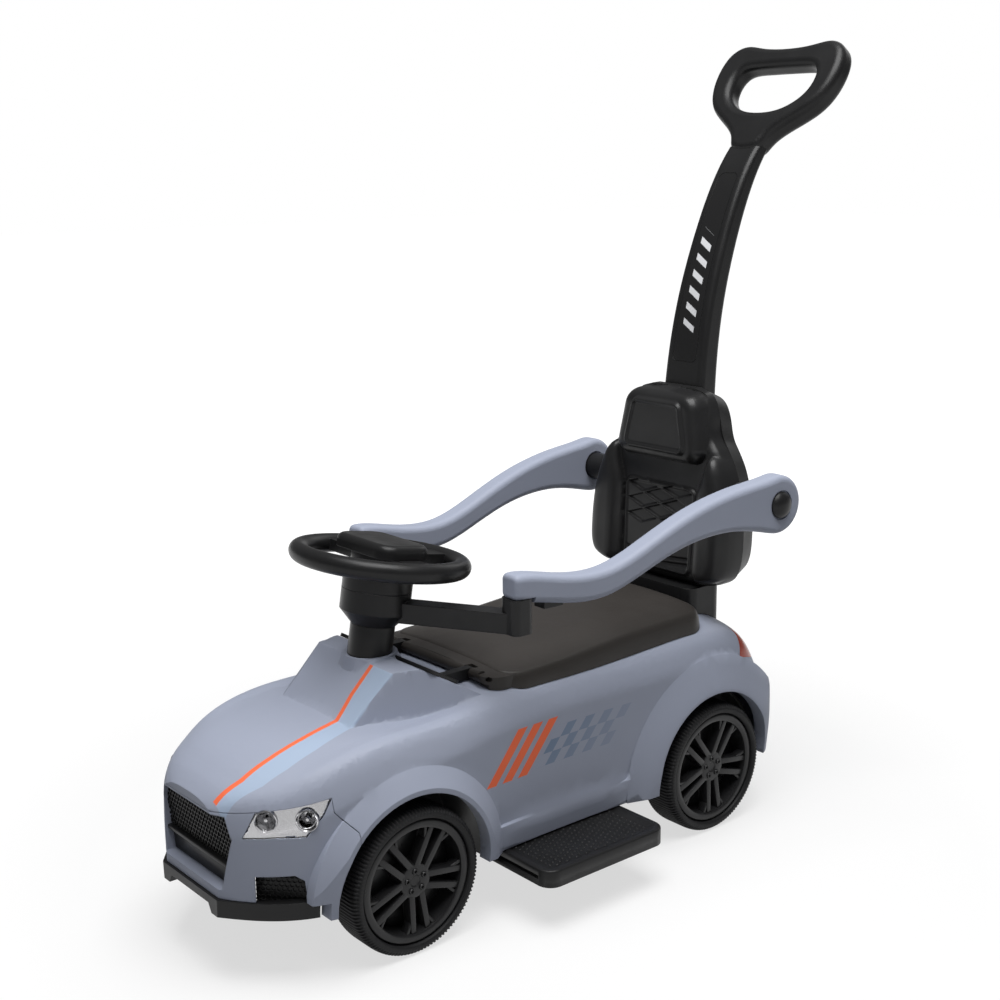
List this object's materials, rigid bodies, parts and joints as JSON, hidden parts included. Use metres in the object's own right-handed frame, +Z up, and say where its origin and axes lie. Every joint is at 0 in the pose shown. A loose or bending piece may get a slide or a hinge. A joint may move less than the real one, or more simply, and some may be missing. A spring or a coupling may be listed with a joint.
{
  "type": "push car with handle",
  "caption": "Toddler's ride-on car with a parent's push handle, swing-up side guards, backrest, linked front-wheel steering, opening seat lid and slide-out footrests.",
  "frame": {"origin": "on the ground under the middle of the part's outline, seen from above", "axes": "+X to the car's left, -Y forwards, +Z up"},
  "size_m": [0.38, 0.864, 0.8833],
  "materials": {
    "body_paint": "fine matt moulded skin",
    "black_plastic": "satin black moulding",
    "seat_plastic": "satin dark brown moulding",
    "quilted": "black moulding with a padded look",
    "tyre": "hollow moulded tyre, fine ribs",
    "rim": "dark moulded rim",
    "lens": "clear moulded lens",
    "reflector": "bright plated moulding",
    "tail_lens": "red lens",
    "inlay": "glossy strip",
    "steel": "drawn rod"
  },
  "bodies": {
    "car_body": {"body_shell": "body_paint", "front_fascia": "body_paint", "grille_insert": "black_plastic", "intake_insert_left": "black_plastic", "intake_insert_right": "black_plastic", "front_splitter": "black_plastic", "headlight_lens_left": "lens", "headlight_lens_right": "lens", "headlight_reflector_left": "reflector", "headlight_reflector_right": "reflector", "taillight_left": "tail_lens", "taillight_right": "tail_lens", "dash_panel": "black_plastic", "chassis_floor": "black_plastic", "storage_bin": "black_plastic", "column_sleeve": "black_plastic", "guard_yoke": "black_plastic", "backrest_front": "quilted", "backrest_rear": "black_plastic", "backrest_plinth": "black_plastic", "guard_hub_left": "black_plastic", "guard_hub_right": "black_plastic", "push_handle": "black_plastic", "handle_inlay": "inlay", "rear_axle": "steel", "seat_hinge_pins": "steel", "floor_screws": "steel"},
    "steering": {"steering_wheel": "black_plastic", "steering_pad": "black_plastic", "steering_hub": "black_plastic", "steering_rod": "steel"},
    "track_link": {"tie_rod": "black_plastic"},
    "seat": {"seat_lid": "seat_plastic"},
    "front_upright_left": {"knuckle_left": "steel"},
    "front_wheel_left": {"tyre_front_left": "tyre", "rim_front_left": "rim"},
    "rear_wheel_left": {"tyre_rear_left": "tyre", "rim_rear_left": "rim"},
    "guard_left": {"guard_arm_left": "body_paint", "guard_knob_left": "black_plastic"},
    "guard_button_left": {"guard_latch_left": "black_plastic"},
    "foot_tray_left": {"footrest_left": "black_plastic"},
    "front_upright_right": {"knuckle_right": "steel"},
    "front_wheel_right": {"tyre_front_right": "tyre", "rim_front_right": "rim"},
    "rear_wheel_right": {"tyre_rear_right": "tyre", "rim_rear_right": "rim"},
    "guard_right": {"guard_arm_right": "body_paint", "guard_knob_right": "black_plastic"},
    "guard_button_right": {"guard_latch_right": "black_plastic"},
    "foot_tray_right": {"footrest_right": "black_plastic"}
  },
  "joints": [
    {"name": "steering_turn", "type": "hinge", "parent": "car_body", "child": "steering", "pos_m": [0, -0.198, 0.362], "axis": [0, 0.1736, 0.9848], "range_deg": [-30, 30]},
    {"name": "link_slide", "type": "slide", "parent": "car_body", "child": "track_link", "axis": [1, 0, 0], "range_m": [-0.0142, 0.0142]},
    {"name": "seat_open", "type": "hinge", "parent": "car_body", "child": "seat", "pos_m": [0, -0.132, 0.24], "axis": [1, 0, 0], "range_deg": [0, 60]},
    {"name": "kingpin_left", "type": "hinge", "parent": "car_body", "child": "front_upright_left", "pos_m": [0.072, -0.258, 0.075], "axis": [0, 0, 1], "range_deg": [-20.5, 20.5]},
    {"name": "front_wheel_left_spin", "type": "hinge", "parent": "front_upright_left", "child": "front_wheel_left", "pos_m": [0.112, -0.258, 0.075], "axis": [1, 0, 0], "continuous": true},
    {"name": "rear_wheel_left_spin", "type": "hinge", "parent": "car_body", "child": "rear_wheel_left", "pos_m": [0.112, 0.163, 0.075], "axis": [1, 0, 0], "continuous": true},
    {"name": "guard_left_swing", "type": "hinge", "parent": "car_body", "child": "guard_left", "pos_m": [0.15, 0.23, 0.377], "axis": [-1, 0, 0], "range_deg": [0, 90]},
    {"name": "guard_left_release", "type": "slide", "parent": "guard_left", "child": "guard_button_left", "axis": [0, 0, 1], "range_m": [0, 0.0035], "stiffness_N_per_m": 250, "springref_m": -0.002},
    {"name": "footrest_left_slide", "type": "slide", "parent": "car_body", "child": "foot_tray_left", "axis": [1, 0, 0], "range_m": [-0.064, 0]},
    {"name": "kingpin_right", "type": "hinge", "parent": "car_body", "child": "front_upright_right", "pos_m": [-0.072, -0.258, 0.075], "axis": [0, 0, 1], "range_deg": [-20.5, 20.5]},
    {"name": "front_wheel_right_spin", "type": "hinge", "parent": "front_upright_right", "child": "front_wheel_right", "pos_m": [-0.112, -0.258, 0.075], "axis": [1, 0, 0], "continuous": true},
    {"name": "rear_wheel_right_spin", "type": "hinge", "parent": "car_body", "child": "rear_wheel_right", "pos_m": [-0.112, 0.163, 0.075], "axis": [1, 0, 0], "continuous": true},
    {"name": "guard_right_swing", "type": "hinge", "parent": "car_body", "child": "guard_right", "pos_m": [-0.15, 0.23, 0.377], "axis": [-1, 0, 0], "range_deg": [0, 90]},
    {"name": "guard_right_release", "type": "slide", "parent": "guard_right", "child": "guard_button_right", "axis": [0, 0, 1], "range_m": [0, 0.0035], "stiffness_N_per_m": 250, "springref_m": -0.002},
    {"name": "footrest_right_slide", "type": "slide", "parent": "car_body", "child": "foot_tray_right", "axis": [-1, 0, 0], "range_m": [-0.064, 0]}
  ],
  "couplings": [
    {"joint": "link_slide", "follows": "steering_turn", "m_per_rad": -0.026651},
    {"joint": "kingpin_left", "follows": "steering_turn", "ratio": 0.66626},
    {"joint": "kingpin_right", "follows": "steering_turn", "ratio": 0.66626}
  ]
}
